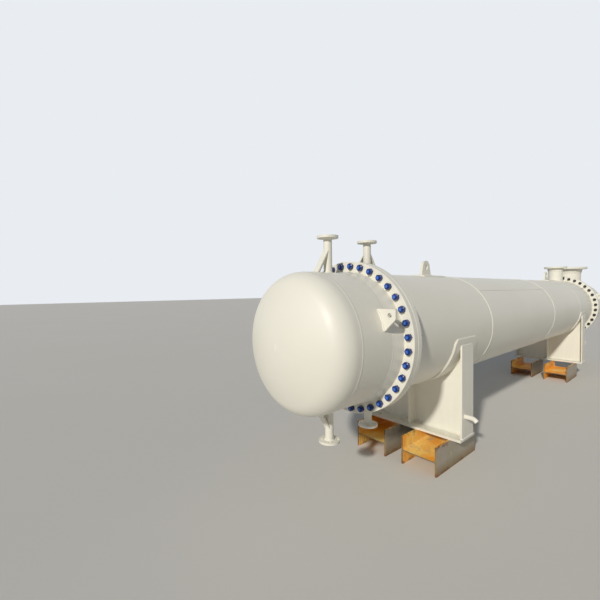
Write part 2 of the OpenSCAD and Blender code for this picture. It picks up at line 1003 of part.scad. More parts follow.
module rear_saddle_web() {
  color(cream)
    at_station(rear_saddle_x)
      saddle_web();
}

module rear_saddle_ribs() {
  color(cream)
    at_station(rear_saddle_x)
      saddle_ribs();
}

module rear_base_plate() {
  color(cream)
    at_station(rear_saddle_x)
      base_plate(anchor_slot);
}

// round bar standing out of an end rib, its end bent down
module earthing_boss() {
  translate([0, -base_len / 2, -saddle_h + boss_z])
    rotate([90, 0, 0]) {
      cylinder(d = boss_d, h = boss_straight, $fn = 48);
      translate([0, -boss_bend_r, boss_straight])
        rotate([90, 0, 90]) {
          rotate_extrude(angle = boss_bend, $fn = 144)
            translate([boss_bend_r, 0])
              circle(d = boss_d, $fn = 48);
          rotate([0, 0, boss_bend])
            translate([boss_bend_r, 0, 0])
              rotate([-90, 0, 0])
                cylinder(d = boss_d, h = boss_tip, $fn = 48);
        }
    }
}

module earthing_bosses() {
  color(cream) {
    at_station(front_saddle_x - boss_shift)
      earthing_boss();
    at_station(rear_saddle_x + boss_shift)
      rotate([0, 0, 180])
        earthing_boss();
  }
}

// H section lying on its side: web level, flanges upright
module beam_section() {
  difference() {
    square([beam_depth, beam_w], center = true);
    beam_pocket();
    rotate([0, 0, 180])
      beam_pocket();
  }
}

// space between the flanges over the web, its two roots rounded
module beam_pocket() {
  pocket_w = beam_depth - 2 * beam_flange_t;
  pocket_h = (beam_w - beam_web_t) / 2 + eps;
  translate([-pocket_w / 2, beam_web_t / 2 + beam_root])
    square([pocket_w, pocket_h - beam_root]);
  translate([-pocket_w / 2 + beam_root, beam_web_t / 2])
    square([pocket_w - 2 * beam_root, pocket_h]);
  for (side = [-1, 1])
    translate([side * (pocket_w / 2 - beam_root), beam_web_t / 2 + beam_root])
      circle(r = beam_root, $fn = 36);
}

module beam_pair(x, len) {
  for (side = [-1, 1])
    translate([x - mid_x - len / 2, side * (beam_gap + beam_depth) / 2, beam_w / 2])
      rotate([90, 0, 90])
        linear_extrude(height = len)
          beam_section();
}

module front_beams() {
  color(ochre)
    beam_pair(front_saddle_x, front_beam_len);
}

module rear_beams() {
  color(ochre)
    beam_pair(rear_saddle_x - rear_beam_shift, rear_beam_len);
}

near_head();
near_bonnet_barrel();
near_bonnet_flange();
near_gasket();
near_tubesheet();
near_studs();
near_side_lugs();
shell_barrel();
girth_welds();
lengthwise_welds();
far_tubesheet();
far_gasket();
far_bonnet_flange();
far_studs();
far_bonnet_barrel();
far_head();
far_side_lugs();
far_pass_plate();
bonnet_vent();
bonnet_drain();
shell_vent();
shell_drain();
nozzle_braces();
shell_top_nozzle();
shell_bottom_nozzle();
bonnet_top_nozzle();
bonnet_bottom_nozzle();
lifting_lugs();
lifting_lug_pads();
front_wear_plate();
front_saddle_web();
front_saddle_ribs();
front_base_plate();
rear_wear_plate();
rear_saddle_web();
rear_saddle_ribs();
rear_base_plate();
earthing_bosses();
front_beams();
rear_beams();
tube_bundle();
cross_baffles();
lengthwise_baffle();
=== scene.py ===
import math

import bpy
import numpy as np
from mathutils import Matrix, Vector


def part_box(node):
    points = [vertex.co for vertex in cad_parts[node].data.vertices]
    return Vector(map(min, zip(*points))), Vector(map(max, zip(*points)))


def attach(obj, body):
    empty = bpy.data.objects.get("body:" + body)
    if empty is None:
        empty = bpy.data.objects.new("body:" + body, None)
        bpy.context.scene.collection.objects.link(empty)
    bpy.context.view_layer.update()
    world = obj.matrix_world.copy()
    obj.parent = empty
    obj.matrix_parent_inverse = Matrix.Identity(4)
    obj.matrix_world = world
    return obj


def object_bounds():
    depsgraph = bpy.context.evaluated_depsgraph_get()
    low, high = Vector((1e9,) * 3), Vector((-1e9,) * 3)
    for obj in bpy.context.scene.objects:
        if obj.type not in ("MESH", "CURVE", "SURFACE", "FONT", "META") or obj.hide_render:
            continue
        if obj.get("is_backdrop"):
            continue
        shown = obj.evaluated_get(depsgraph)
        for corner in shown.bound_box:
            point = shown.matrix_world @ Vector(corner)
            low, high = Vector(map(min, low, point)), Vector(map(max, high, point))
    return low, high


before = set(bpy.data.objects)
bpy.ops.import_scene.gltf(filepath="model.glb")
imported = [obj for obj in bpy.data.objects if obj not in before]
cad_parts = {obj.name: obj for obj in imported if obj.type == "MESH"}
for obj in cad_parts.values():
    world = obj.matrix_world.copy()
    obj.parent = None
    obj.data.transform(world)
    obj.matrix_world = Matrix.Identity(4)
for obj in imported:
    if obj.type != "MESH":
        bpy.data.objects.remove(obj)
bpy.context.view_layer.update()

# Near head. A dished end spun from steel plate and welded to the short bonnet barrel. Like the
# barrels, it has a cream polyurethane top coat: glossy, slightly wavy, with a little yard dust.


def linear(hex_colour):
    """An sRGB hex colour as the linear RGBA that a shader socket takes."""
    parts = [int(hex_colour[i:i + 2], 16) / 255 for i in (1, 3, 5)]
    return [c / 12.92 if c <= 0.04045 else ((c + 0.055) / 1.055) ** 2.4 for c in parts] + [1.0]


def add_node(tree, kind, values=None, links=None, **settings):
    """Adds one shader node, sets its fields and plain inputs, and joins inputs to other outputs."""
    made = tree.nodes.new(kind)
    for field, value in settings.items():
        setattr(made, field, value)
    for socket, value in (values or {}).items():
        made.inputs[socket].default_value = value
    for socket, source in (links or {}).items():
        tree.links.new(source, made.inputs[socket])
    return made


def new_material(name):
    """A node material that holds only a shader joined to the output; gives it, its tree and shader."""
    material = bpy.data.materials.new(name)
    material.use_nodes = True
    tree = material.node_tree
    tree.nodes.clear()
    shader = add_node(tree, "ShaderNodeBsdfPrincipled")
    add_node(tree, "ShaderNodeOutputMaterial", links={"Surface": shader.outputs["BSDF"]})
    return material, tree, shader


def dress(material, *names):
    """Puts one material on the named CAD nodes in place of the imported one."""
    for name in names:
        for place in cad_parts[name].material_slots:
            place.material = material


# The mix node's sockets for two colours, their share, and the mixed colour.
FIRST_COLOUR, SECOND_COLOUR, SHARE, MIXED = 6, 7, 0, 2


def cream_top_coat(name, clean="#eeebde", second="#e5e1d2", dust="#b5ad9a", dust_amount=0.20):
    """Sprayed two-pack polyurethane on plate. The eye gets a soft gloss under a clear skin, a
    slight orange peel, broad waves in the plate, cloudy tone, and dust drawn down by rain."""
    material, tree, shader = new_material(name)
    where = add_node(tree, "ShaderNodeTexCoord").outputs["Object"]
    patch_size, wave_size, speck_size = 0.60, 0.28, 0.035
    # Real orange peel is about 2 mm across, so it is drawn coarser to show.
    peel_size = 0.008
    wave_depth, peel_depth = 0.004, 0.0006
    dusty_height, clean_height = 0.25, 0.75
    patches = add_node(tree, "ShaderNodeTexNoise", {"Scale": 1 / patch_size, "Detail": 3.0},
                       {"Vector": where})
    tone = add_node(tree, "ShaderNodeMix",
                    {FIRST_COLOUR: linear(clean), SECOND_COLOUR: linear(second)},
                    {SHARE: patches.outputs["Fac"]}, data_type="RGBA")
    # Rain has drawn the dust into faint upright streaks about 30 mm apart.
    streak_gap, streak_len = 0.03, 0.7
    drawn = add_node(tree, "ShaderNodeMapping",
                     {"Scale": (1 / streak_gap, 1 / streak_gap, 1 / streak_len)}, {"Vector": where})
    streaks = add_node(tree, "ShaderNodeTexNoise", {"Scale": 1.0, "Detail": 3.0},
                       {"Vector": drawn.outputs["Vector"]})
    specks = add_node(tree, "ShaderNodeTexNoise", {"Scale": 1 / speck_size, "Detail": 6.0},
                      {"Vector": where})
    height = add_node(tree, "ShaderNodeSeparateXYZ", links={"Vector": where}).outputs["Z"]
    lowness = add_node(tree, "ShaderNodeMapRange",
                       {"From Min": dusty_height, "From Max": clean_height,
                        "To Min": 1.0, "To Max": 0.3},
                       {"Value": height})
    grime = add_node(tree, "ShaderNodeMath", links={0: streaks.outputs["Fac"],
                                                    1: patches.outputs["Fac"]},
                     operation="MULTIPLY")
    grime = add_node(tree, "ShaderNodeMath", links={0: grime.outputs[0],
                                                    1: lowness.outputs["Result"]},
                     operation="MULTIPLY")
    grime = add_node(tree, "ShaderNodeMapRange",
                     {"From Min": 0.12, "From Max": 0.45, "To Min": 0.0, "To Max": dust_amount},
                     {"Value": grime.outputs[0]})
    colour = add_node(tree, "ShaderNodeMix", {SECOND_COLOUR: linear(dust)},
                      {SHARE: grime.outputs["Result"], FIRST_COLOUR: tone.outputs[MIXED]},
                      data_type="RGBA")
    gloss = add_node(tree, "ShaderNodeMapRange", {"To Min": 0.42, "To Max": 0.56},
                     {"Value": specks.outputs["Fac"]})
    waves = add_node(tree, "ShaderNodeTexNoise", {"Scale": 1 / wave_size, "Detail": 1.0},
                     {"Vector": where})
    peel = add_node(tree, "ShaderNodeTexNoise", {"Scale": 1 / peel_size, "Detail": 2.0},
                    {"Vector": where})
    broad = add_node(tree, "ShaderNodeBump", {"Strength": 0.35, "Distance": wave_depth},
                     {"Height": waves.outputs["Fac"]})
    fine = add_node(tree, "ShaderNodeBump", {"Strength": 0.2, "Distance": peel_depth},
                    {"Height": peel.outputs["Fac"], "Normal": broad.outputs["Normal"]})
    shader.inputs["Coat Weight"].default_value = 0.14
    shader.inputs["Coat Roughness"].default_value = 0.34
    for socket, source in (("Base Color", colour.outputs[MIXED]),
                           ("Roughness", gloss.outputs["Result"]),
                           ("Normal", fine.outputs["Normal"])):
        tree.links.new(source, shader.inputs[socket])
    return material


vessel_paint = cream_top_coat("cream polyurethane on rolled plate")
dress(vessel_paint, "near_head")

# Near bonnet barrel. Plate rolled to a ring and welded to the head and to the hub of its flange.
# The welds keep their ripple under the paint and catch the light as thin lines.
dress(vessel_paint, "near_bonnet_barrel")


def weld_paint():
    """The same top coat over hand-laid weld metal: ripples 9 mm apart, drawn a little coarse."""
    material, tree, shader = new_material("cream polyurethane on weld metal")
    along = add_node(tree, "ShaderNodeUVMap", uv_map="bead").outputs["UV"]
    where = add_node(tree, "ShaderNodeTexCoord").outputs["Object"]
    ripple_gap, ripple_depth, patches_per_metre = 0.009, 0.0012, 12.0
    ripple = add_node(tree, "ShaderNodeTexWave",
                      {"Scale": math.tau / (20 * ripple_gap), "Distortion": 1.5},
                      {"Vector": along}, wave_profile="SIN")
    patches = add_node(tree, "ShaderNodeTexNoise", {"Scale": patches_per_metre, "Detail": 3.0},
                       {"Vector": where})
    tone = add_node(tree, "ShaderNodeMix",
                    {FIRST_COLOUR: linear("#edeadd"), SECOND_COLOUR: linear("#e0dbcc")},
                    {SHARE: patches.outputs["Fac"]}, data_type="RGBA")
    bump = add_node(tree, "ShaderNodeBump", {"Strength": 0.5, "Distance": ripple_depth},
                    {"Height": ripple.outputs["Fac"]})
    shader.inputs["Roughness"].default_value = 0.38
    tree.links.new(tone.outputs[MIXED], shader.inputs["Base Color"])
    tree.links.new(bump.outputs["Normal"], shader.inputs["Normal"])
    return material


bead_paint = weld_paint()
BEAD_SIDES, BEAD_STEP = 8, 0.006
RIPPLE_SHARE, END_SHARE = 0.94, 0.3


def even_path(corners, closed=False):
    """Points about 6 mm apart on the straight runs between the corners: each corner gets its
    length along the path, and each point lies between two corners by its own length."""
    corners = np.asarray(corners, float)
    if closed:
        corners = np.concatenate([corners, corners[:1]])
    run = np.concatenate([[0.0], np.cumsum(np.linalg.norm(np.diff(corners, axis=0), axis=1))])
    count = max(3, int(round(run[-1] / BEAD_STEP)))
    at = np.linspace(0, run[-1], count, endpoint=not closed)
    return np.stack([np.interp(at, run, corners[:, k]) for k in range(3)], -1)


def bead_surface(path, out, half_width, height, closed):
    """A bead on a path. Each path point p carries a ring p + h cos(v) n + w sin(v) s, where n is
    the outward direction made square to the path, s is square to both, and v runs once round.
    Every second ring is 6% smaller, which gives the ripple, and an open bead tapers at its two
    ends. Gives the points, the four-sided faces and each corner's (length along, length round)
    in metres."""
    ahead = np.roll(path, -1, 0) - np.roll(path, 1, 0) if closed else np.gradient(path, axis=0)
    tangent = ahead / np.linalg.norm(ahead, axis=1, keepdims=True)
    normal = out - (out * tangent).sum(1, keepdims=True) * tangent
    normal /= np.linalg.norm(normal, axis=1, keepdims=True)
    side = np.cross(tangent, normal)
    count = len(path)
    v = np.arange(BEAD_SIDES) * math.tau / BEAD_SIDES
    swell = np.where(np.arange(count) % 2, 1.0, RIPPLE_SHARE)[:, None, None]
    if not closed:
        swell[[0, -1]] = END_SHARE
    rings = path[:, None] + swell * (height * np.cos(v)[None, :, None] * normal[:, None]
                                     + half_width * np.sin(v)[None, :, None] * side[:, None])
    i = np.arange(count if closed else count - 1)[:, None]
    j = np.arange(BEAD_SIDES)[None, :]
    i_next, j_next = (i + 1) % count, (j + 1) % BEAD_SIDES
    faces = np.stack([i * BEAD_SIDES + j, i * BEAD_SIDES + j_next,
                      i_next * BEAD_SIDES + j_next, i_next * BEAD_SIDES + j], -1).reshape(-1, 4)
    near, far = (i + 0 * j) * BEAD_STEP, (i + 1 + 0 * j) * BEAD_STEP
    low, high = (j + 0 * i) * half_width, (j + 1 + 0 * i) * half_width
    spans = np.stack([np.stack([near, low], -1), np.stack([near, high], -1),
                      np.stack([far, high], -1), np.stack([far, low], -1)], 2)
    return rings.reshape(-1, 3), faces, spans.reshape(-1, 2)


def weld(name, runs):
    """One piece from several bead runs (path, out, half width, height, closed). The ends of an
    open run are closed with one flat face each."""
    points, faces, spans, start = [], [], [], 0
    for path, out, half_width, height, closed in runs:
        path = np.asarray(path, float)
        out = np.broadcast_to(np.asarray(out, float), path.shape)
        run_points, run_faces, run_spans = bead_surface(path, out, half_width, height, closed)
        points.append(run_points)
        faces += (run_faces + start).tolist()
        spans.append(run_spans)
        if not closed:
            first = np.arange(BEAD_SIDES)[::-1] + start
            last = np.arange(BEAD_SIDES) + start + len(run_points) - BEAD_SIDES
            faces += [first.tolist(), last.tolist()]
            spans.append(np.zeros((2 * BEAD_SIDES, 2)))
        start += len(run_points)
    mesh = bpy.data.meshes.new(name)
    mesh.from_pydata(np.concatenate(points).tolist(), [], faces)
    mesh.polygons.foreach_set("use_smooth", np.ones(len(mesh.polygons), bool))
    layer = mesh.uv_layers.new(name="bead")
    layer.data.foreach_set("uv", np.concatenate(spans).astype(np.float32).ravel())
    mesh.materials.append(bead_paint)
    mesh.update()
    piece = bpy.data.objects.new(name, mesh)
    bpy.context.scene.collection.objects.link(piece)
    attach(piece, "root")
    return piece


shell_low, shell_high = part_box("shell_barrel")
axis_height = (shell_low.z + shell_high.z) / 2
shell_radius = (shell_high.z - shell_low.z) / 2


def from_axis(path):
    """Unit directions square to the vessel axis, outwards, at the points of a path."""
    out = np.asarray(path, float) - [0, 0, axis_height]
    out[:, 0] = 0
    return out / np.linalg.norm(out, axis=1, keepdims=True)


def girth(x, radius):
    """A closed ring about the vessel axis: (x, r sin a, r cos a)."""
    a = np.linspace(0, math.tau, int(math.tau * radius / BEAD_STEP), endpoint=False)
    return np.stack([x + 0 * a, radius * np.sin(a), axis_height + radius * np.cos(a)], -1)


def girth_run(x, radius, half_width, height):
    """A ring bead about the vessel axis."""
    path = girth(x, radius)
    return path, from_axis(path), half_width, height, True


cap_half_width, cap_height = 0.007, 0.0008
near_hub_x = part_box("near_bonnet_barrel")[1].x
weld("near_hub_weld", [girth_run(near_hub_x, shell_radius, cap_half_width, cap_height)])

# Near joint. A welding-neck flange on the bonnet is bolted through a thin graphite gasket to the
# tubesheet, whose rim stands out as the shell's flange. The rims are turned, then painted.
dress(vessel_paint, "near_bonnet_flange", "near_tubesheet")


def graphite_gasket():
    """Graphite facing on a steel core: matt and nearly black, seen only as a line in the joint."""
    material, tree, shader = new_material("graphite gasket")
    where = add_node(tree, "ShaderNodeTexCoord").outputs["Object"]
    flake_size = 0.004
    flakes = add_node(tree, "ShaderNodeTexNoise", {"Scale": 1 / flake_size, "Detail": 4.0},
                      {"Vector": where})
    tone = add_node(tree, "ShaderNodeMix",
                    {FIRST_COLOUR: linear("#1b1b1c"), SECOND_COLOUR: linear("#323233")},
                    {SHARE: flakes.outputs["Fac"]}, data_type="RGBA")
    shader.inputs["Roughness"].default_value = 0.8
    tree.links.new(tone.outputs[MIXED], shader.inputs["Base Color"])
    return material


gasket_face = graphite_gasket()
dress(gasket_face, "near_gasket", "far_gasket")

# Studs of the near joint. Alloy steel studs with a heavy nut at each end, all coated in blue
# fluoropolymer, which is smooth and half glossy and darker in random patches. A painted highlight
# lies on each stud's end, and painted shade out at each nut's corners.
stud_circle_radius, stud_count, stud_radius, flat_radius = 0.525, 36, 0.0125, 0.0205


def from_stud(tree, where):
    """The distance in metres from the nearest stud's axis, from the radius and angle round the
    vessel axis. The studs sit half a division away from the level."""
    across = add_node(tree, "ShaderNodeMapping",
                      {"Location": (0.0, 0.0, -axis_height), "Scale": (0.0, 1.0, 1.0)},
                      {"Vector": where}).outputs["Vector"]
    radius = add_node(tree, "ShaderNodeVectorMath", links={0: across}, operation="LENGTH")
    part = add_node(tree, "ShaderNodeSeparateXYZ", links={"Vector": across})
    angle = add_node(tree, "ShaderNodeMath", links={0: part.outputs["Z"], 1: part.outputs["Y"]},
                     operation="ARCTAN2")
    division = add_node(tree, "ShaderNodeMath", {1: stud_count / math.tau},
                        {0: angle.outputs[0]}, operation="MULTIPLY")
    share = add_node(tree, "ShaderNodeMath", links={0: division.outputs[0]}, operation="FRACT")
    arc = add_node(tree, "ShaderNodeMath", {1: 0.5}, {0: share.outputs[0]}, operation="SUBTRACT")
    arc = add_node(tree, "ShaderNodeMath", {1: math.tau * stud_circle_radius / stud_count},
                   {0: arc.outputs[0]}, operation="MULTIPLY")
    outward = add_node(tree, "ShaderNodeMath", {1: stud_circle_radius},
                       {0: radius.outputs["Value"]}, operation="SUBTRACT")
    offset = add_node(tree, "ShaderNodeCombineXYZ", links={"X": arc.outputs[0],
                                                           "Y": outward.outputs[0]})
    return add_node(tree, "ShaderNodeVectorMath", links={0: offset.outputs["Vector"]},
                    operation="LENGTH").outputs["Value"]


def coated_fastener(name, face, dark_tone_and_shade, rubbed, stud_end_highlight, roughness):
    """Baked fluoropolymer on a machined nut: even colour, darker in random patches and worn a little
    lighter in others, with a painted highlight on the stud's end and painted shade out at the
    nut's corners, and the stud's thread as fine rings along its length, drawn 4 mm apart to show."""
    material, tree, shader = new_material(name)
    where = add_node(tree, "ShaderNodeTexCoord").outputs["Object"]
    wear_size, thread_pitch, thread_depth, highlight_edge = 0.012, 0.004, 0.0008, 0.005
    wear = add_node(tree, "ShaderNodeTexNoise", {"Scale": 1 / wear_size, "Detail": 5.0},
                    {"Vector": where})
    tone = add_node(tree, "ShaderNodeMix",
                    {FIRST_COLOUR: linear(dark_tone_and_shade), SECOND_COLOUR: linear(face)},
                    {SHARE: wear.outputs["Fac"]}, data_type="RGBA")
    worn = add_node(tree, "ShaderNodeMapRange",
                    {"From Min": 0.62, "From Max": 0.75, "To Min": 0.0, "To Max": 0.55},
                    {"Value": wear.outputs["Fac"]})
    colour = add_node(tree, "ShaderNodeMix", {SECOND_COLOUR: linear(rubbed)},
                      {SHARE: worn.outputs["Result"], FIRST_COLOUR: tone.outputs[MIXED]},
                      data_type="RGBA")
    distance = from_stud(tree, where)
    # Painted shade: the colour darkens from the stud's edge out to the nut's corners.
    corner = add_node(tree, "ShaderNodeMapRange",
                      {"From Min": stud_radius, "From Max": flat_radius,
                       "To Min": 0.0, "To Max": 0.8},
                      {"Value": distance})
    colour = add_node(tree, "ShaderNodeMix", {SECOND_COLOUR: linear(dark_tone_and_shade)},
                      {SHARE: corner.outputs["Result"], FIRST_COLOUR: colour.outputs[MIXED]},
                      data_type="RGBA")
    # Painted highlight: a lighter disc on the end of each stud.
    highlight_share = add_node(tree, "ShaderNodeMapRange",
                         {"From Min": stud_radius - highlight_edge, "From Max": stud_radius,
                          "To Min": 0.9, "To Max": 0.0}, {"Value": distance})
    colour = add_node(tree, "ShaderNodeMix", {SECOND_COLOUR: linear(stud_end_highlight)},
                      {SHARE: highlight_share.outputs["Result"], FIRST_COLOUR: colour.outputs[MIXED]},
                      data_type="RGBA")
    thread = add_node(tree, "ShaderNodeTexWave", {"Scale": math.tau / (20 * thread_pitch)},
                      {"Vector": where}, bands_direction="X")
    bump = add_node(tree, "ShaderNodeBump", {"Strength": 0.25, "Distance": thread_depth},
                    {"Height": thread.outputs["Fac"]})
    shader.inputs["Roughness"].default_value = roughness
    tree.links.new(colour.outputs[MIXED], shader.inputs["Base Color"])
    tree.links.new(bump.outputs["Normal"], shader.inputs["Normal"])
    return material


dress(coated_fastener("blue fluoropolymer", face="#1c4da6", dark_tone_and_shade="#0a2260", rubbed="#6b97dc",
                      stud_end_highlight="#3f70cf", roughness=0.20), "near_studs")

# Shell. Four rolled courses, butt welded end to end, with one lengthwise weld in each. The
# girth welds show as thin raised lines under the top coat.
dress(vessel_paint, "shell_barrel")


def ground_weld_paint():
    """Top coat over machine-laid welds on the courses: a low bead with ripples 8 mm apart that
    follow the vessel, so the pattern uses the angle round the axis and the length along it."""
    material, tree, shader = new_material("cream polyurethane on machine weld")
    where = add_node(tree, "ShaderNodeTexCoord").outputs["Object"]
    ripple_gap, ripple_depth, patches_per_metre = 0.008, 0.0008, 9.0
    shift = add_node(tree, "ShaderNodeMapping", {"Location": (0.0, 0.0, -axis_height)},
                     {"Vector": where})
    part = add_node(tree, "ShaderNodeSeparateXYZ", links={"Vector": shift.outputs["Vector"]})
    angle = add_node(tree, "ShaderNodeMath", links={0: part.outputs["Z"], 1: part.outputs["Y"]},
                     operation="ARCTAN2")
    round_len = add_node(tree, "ShaderNodeMath", {1: shell_radius}, {0: angle.outputs[0]},
                         operation="MULTIPLY")
    run = add_node(tree, "ShaderNodeMath", links={0: round_len.outputs[0], 1: part.outputs["X"]},
                   operation="ADD")
    turns = add_node(tree, "ShaderNodeMath", {1: math.tau / ripple_gap}, {0: run.outputs[0]},
                     operation="MULTIPLY")
    ripple = add_node(tree, "ShaderNodeMath", links={0: turns.outputs[0]}, operation="SINE")
    patches = add_node(tree, "ShaderNodeTexNoise", {"Scale": patches_per_metre, "Detail": 3.0},
                       {"Vector": where})
    tone = add_node(tree, "ShaderNodeMix",
                    {FIRST_COLOUR: linear("#eeebdf"), SECOND_COLOUR: linear("#e3decf")},
                    {SHARE: patches.outputs["Fac"]}, data_type="RGBA")
    bump = add_node(tree, "ShaderNodeBump", {"Strength": 0.4, "Distance": ripple_depth},
                    {"Height": ripple.outputs[0]})
    shader.inputs["Roughness"].default_value = 0.36
    tree.links.new(tone.outputs[MIXED], shader.inputs["Base Color"])
    tree.links.new(bump.outputs["Normal"], shader.inputs["Normal"])
    return material


dress(ground_weld_paint(), "girth_welds")
# The lengthwise welds are ground nearly flush, so they have the plate's own paint.
dress(vessel_paint, "lengthwise_welds")
seam_half_width, seam_height, fillet_leg = 0.0085, 0.0045, 0.008
# The third seam is ground lower, so it keeps only the low bead of the CAD ring.
seams = [-1.7775, 0.3305]
weld("shell_seam_caps", [girth_run(x, shell_radius, seam_half_width, seam_height) for x in seams])
weld("tubesheet_welds", [girth_run(shell_low.x, shell_radius, fillet_leg, fillet_leg),
                         girth_run(shell_high.x, shell_radius, fillet_leg, fillet_leg)])

# Far joint. The same as the near one, but its studs and nuts have a dark coating.
dress(vessel_paint, "far_tubesheet", "far_bonnet_flange")
# Its nuts carry the same painted highlight on the stud ends and painted shade at the corners.
dress(coated_fastener("dark zinc flake coating", face="#26272b", dark_tone_and_shade="#131316", rubbed="#4a4c52",
                      stud_end_highlight="#34363b", roughness=0.42), "far_studs")

# Far bonnet. A longer barrel with its own dished head. It takes the two large tube-side nozzles.
dress(vessel_paint, "far_bonnet_barrel", "far_head")
far_hub_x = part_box("far_bonnet_barrel")[0].x
weld("far_hub_weld", [girth_run(far_hub_x, shell_radius, cap_half_width, cap_height)])

# Vents and drains. Two inch pipe necks set into the barrels, with welding-neck flanges. Each is
# held by two flat bar braces against knocks.
small_nozzles = ("bonnet_vent", "bonnet_drain", "shell_vent", "shell_drain")
dress(vessel_paint, *small_nozzles, "nozzle_braces")


def on_shell(x, y, up, radius=shell_radius):
    """Points on the barrel above (up 1) or below (up -1) the axis, from their plan positions."""
    x, y = np.broadcast_arrays(np.asarray(x, float), np.asarray(y, float))
    return np.stack([x, y, axis_height + up * np.sqrt(radius ** 2 - y ** 2)], -1)


def neck_run(x, neck_radius, up, leg):
    """The bead where an upright neck meets the barrel: plan circle (r cos t, r sin t) dropped on
    the barrel. It faces outwards from the neck and from the barrel alike."""
    t = np.linspace(0, math.tau, int(math.tau * neck_radius / BEAD_STEP), endpoint=False)
    path = on_shell(x + neck_radius * np.cos(t), neck_radius * np.sin(t), up)
    out = np.stack([np.cos(t), np.sin(t), up * np.ones_like(t)], -1)
    return path, out, leg, leg, True


small_neck_radius, small_leg = 0.03015, 0.006
brace_half_width, brace_foot, brace_foot_side, brace_steps = 0.025, 0.122, 0.1346, 9
small_runs = []
for name in small_nozzles:
    low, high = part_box(name)
    middle_x = (low.x + high.x) / 2
    up = 1 if high.z > axis_height + shell_radius else -1
    small_runs.append(neck_run(middle_x, small_neck_radius, up, small_leg))
    across = np.linspace(-brace_half_width, brace_half_width, brace_steps)
    foot_x = middle_x + (-brace_foot if name.startswith("bonnet") else brace_foot)
    for path in (on_shell(foot_x, across, up),
                 on_shell(middle_x + across, brace_foot_side, up)):
        small_runs.append((path, from_axis(path), small_leg, small_leg, False))
weld("small_nozzle_welds", small_runs)

# Large nozzles. Pipe necks with welding-neck flanges: two on the shell at the far end and two on
# the far bonnet, one above and one below.
large_neck_radius = {"shell_top_nozzle": 0.10955, "shell_bottom_nozzle": 0.10955,
                     "bonnet_top_nozzle": 0.2032, "bonnet_bottom_nozzle": 0.2032}
dress(vessel_paint, *large_neck_radius)
large_leg = 0.011
large_runs = []
for name, neck_radius in large_neck_radius.items():
    low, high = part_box(name)
    up = 1 if high.z > axis_height + shell_radius else -1
    large_runs.append(neck_run((low.x + high.x) / 2, neck_radius, up, large_leg))
weld("large_nozzle_welds", large_runs)

# Feet of the bonnet nozzle necks. The CAD necks end level, up to 26 mm short of the barrel at their
# sides, which is a fault of the solids. The same pipe is carried on here and cut to the barrel.
neck_wall, foot_inset, foot_lap, foot_turns = 0.0095, 0.0002, 0.003, 96
# The foot ends inside the barrel's plate, 1 mm outside its inner face.
foot_cut_radius = 0.464


def neck_foot(name, nozzle):
    """A pipe wall from the end of a nozzle's neck down to the inside of the barrel. A section of
    four corners is carried round the neck's axis: (r cos t, r sin t) for its outer and inner
    radius, the upper corners level just inside the neck's end, the lower ones at the height
    sqrt(b^2 - (r sin t)^2) over the vessel axis or at the neck's end, whichever is lower."""
    low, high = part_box(nozzle)
    up = 1 if high.z > axis_height + shell_radius else -1
    neck_end = (low.z - axis_height) if up > 0 else (axis_height - high.z)
    outer = large_neck_radius[nozzle] - foot_inset
    inner = large_neck_radius[nozzle] - neck_wall + foot_inset
    t = np.arange(foot_turns)[:, None] * math.tau / foot_turns
    radius = np.array([[outer, outer, inner, inner]])
    x = (low.x + high.x) / 2 + radius * np.cos(t)
    y = radius * np.sin(t)
    lower = np.minimum(np.sqrt(foot_cut_radius ** 2 - y ** 2), neck_end)
    rise = np.where([[False, True, True, False]], neck_end + foot_lap, lower)
    points = np.stack([x, y, axis_height + up * rise], -1).reshape(-1, 3)
    i, j = np.arange(foot_turns)[:, None], np.arange(4)[None, :]
    i_next, j_next = (i + 1) % foot_turns, (j + 1) % 4
    faces = np.stack([4 * i + j, 4 * i_next + j, 4 * i_next + j_next, 4 * i + j_next], -1)
    faces = faces.reshape(-1, 4)[:, ::up]
    mesh = bpy.data.meshes.new(name)
    mesh.from_pydata(points.tolist(), [], faces.tolist())
    mesh.materials.append(vessel_paint)
    mesh.update()
    piece = bpy.data.objects.new(name, mesh)
    bpy.context.scene.collection.objects.link(piece)
    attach(piece, "root")
    return piece


neck_foot("bonnet_top_neck_foot", "bonnet_top_nozzle")
neck_foot("bonnet_bottom_neck_foot", "bonnet_bottom_nozzle")

# Lifting lugs. Thick plates with a round eye, each fillet welded on a pad that follows the shell.
dress(vessel_paint, "lifting_lugs", "lifting_lug_pads")
pad_half_length, pad_half_width, pad_thickness, pad_leg = 0.1925, 0.100, 0.010, 0.007
lug_foot_half, lug_half_thickness, lug_leg = 0.087, 0.0125, 0.009
pad_low, pad_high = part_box("lifting_lug_pads")
lug_runs = []
for middle_x in (pad_low.x + pad_half_length, pad_high.x - pad_half_length):
    for half_x, half_y, radius, leg in (
            (pad_half_length, pad_half_width, shell_radius, pad_leg),
            (lug_foot_half, lug_half_thickness, shell_radius + pad_thickness, lug_leg)):
        plan = even_path([(middle_x - half_x, -half_y, 0), (middle_x + half_x, -half_y, 0),
                          (middle_x + half_x, half_y, 0), (middle_x - half_x, half_y, 0)], True)
        path = on_shell(plan[:, 0], plan[:, 1], 1, radius)
        lug_runs.append((path, from_axis(path), leg, leg, True))
weld("lifting_lug_welds", lug_runs)

# Side lugs. Gusset plates across the bonnets with an eye for the handling gear, welded on both
# faces to the barrel.
dress(vessel_paint, "near_side_lugs", "far_side_lugs")
side_leg = 0.007
side_runs = []
for name in ("near_side_lugs", "far_side_lugs"):
    low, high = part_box(name)
    z = np.arange(low.z, high.z, BEAD_STEP)
    y = np.sqrt(shell_radius ** 2 - (z - axis_height) ** 2)
    for side in (-1, 1):
        for face_x in (low.x, high.x):
            path = np.stack([face_x + 0 * z, side * y, z], -1)
            side_runs.append((path, from_axis(path), side_leg, side_leg, False))
weld("side_lug_welds", side_runs)

